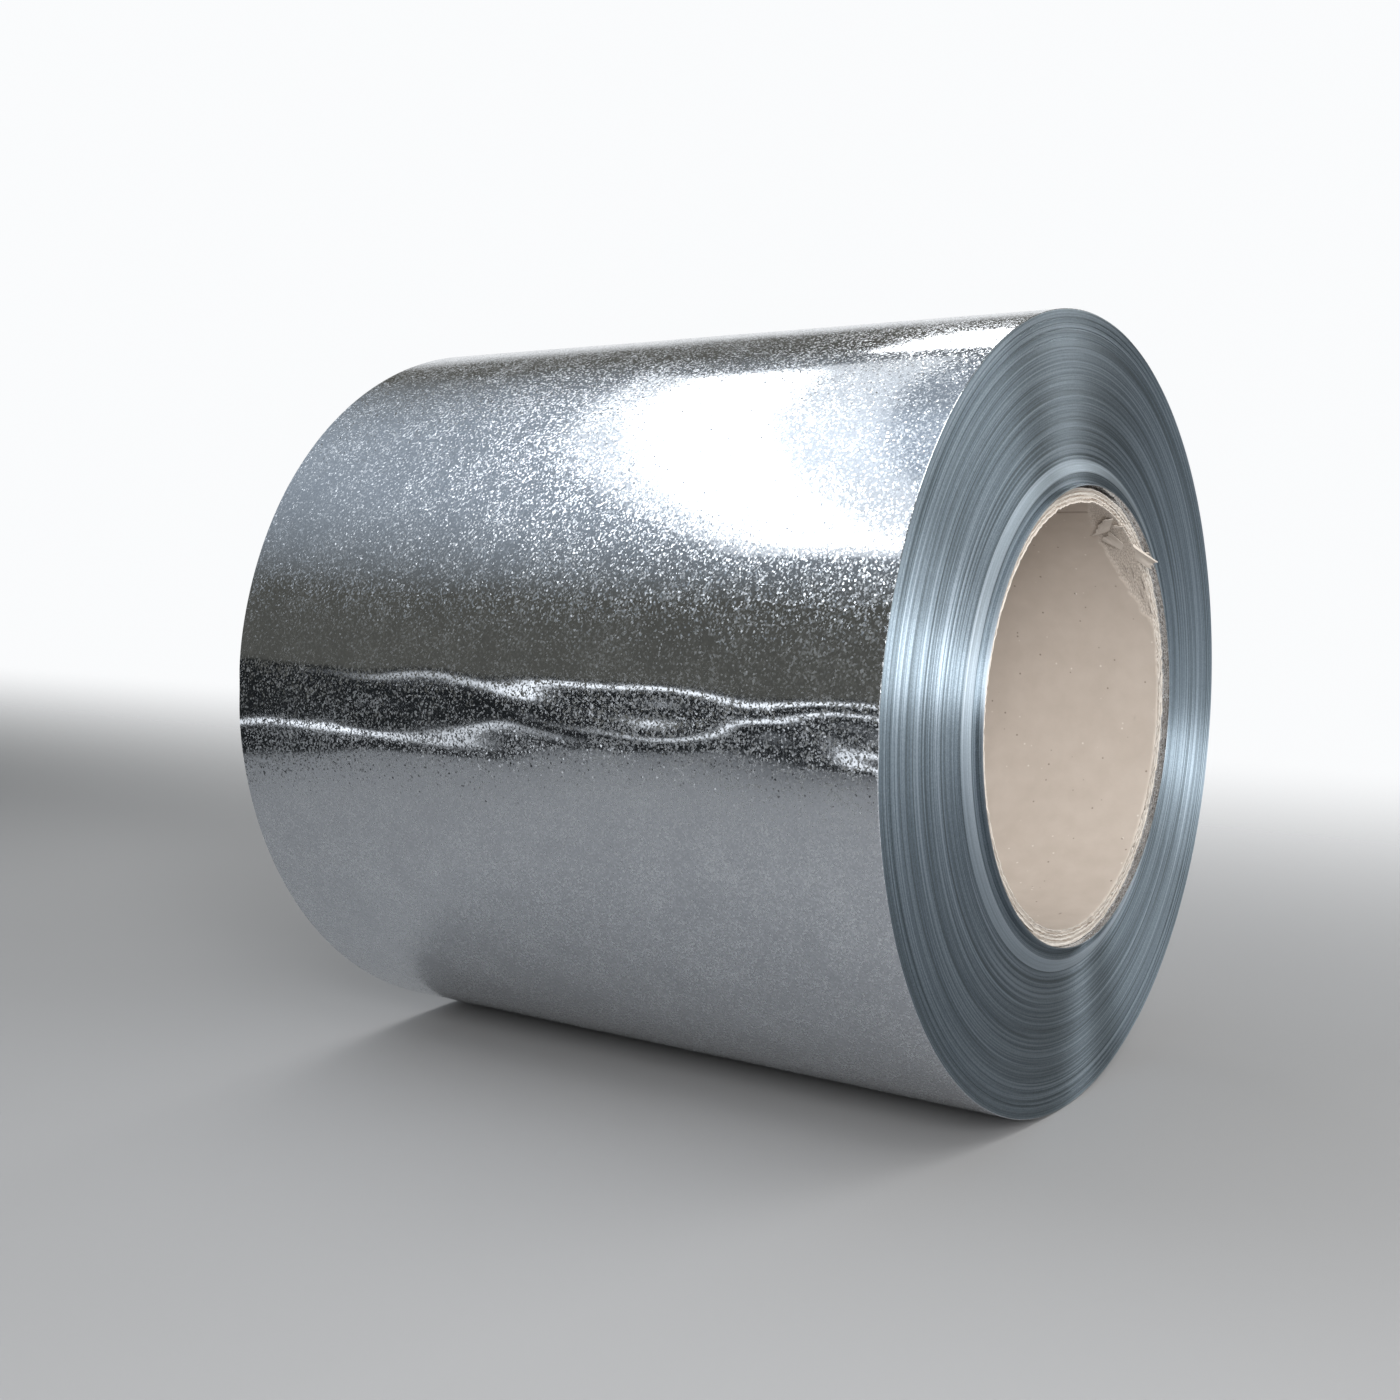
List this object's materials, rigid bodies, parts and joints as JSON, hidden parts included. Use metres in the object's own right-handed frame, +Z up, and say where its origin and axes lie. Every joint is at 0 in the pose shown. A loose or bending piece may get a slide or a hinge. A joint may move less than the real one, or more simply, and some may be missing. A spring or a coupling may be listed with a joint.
{
  "type": "steel coil",
  "caption": "Coil of galvanised steel strip wound on a paperboard core and lying on its side, with telescoped inner laps at one end and a through bore for a mandrel.",
  "frame": {"origin": "on the floor under the middle of the coil: the bottom centre of its box", "axes": "+X along the coil's axis, out of the end where the inner laps stand out; +Z up"},
  "size_m": [0.9532, 0.956, 0.956],
  "materials": {
    "galvanised_steel": "satin",
    "paperboard": "matte"
  },
  "bodies": {
    "root": {"steel_coil": "galvanised_steel", "paper_core": "paperboard"}
  },
  "joints": []
}
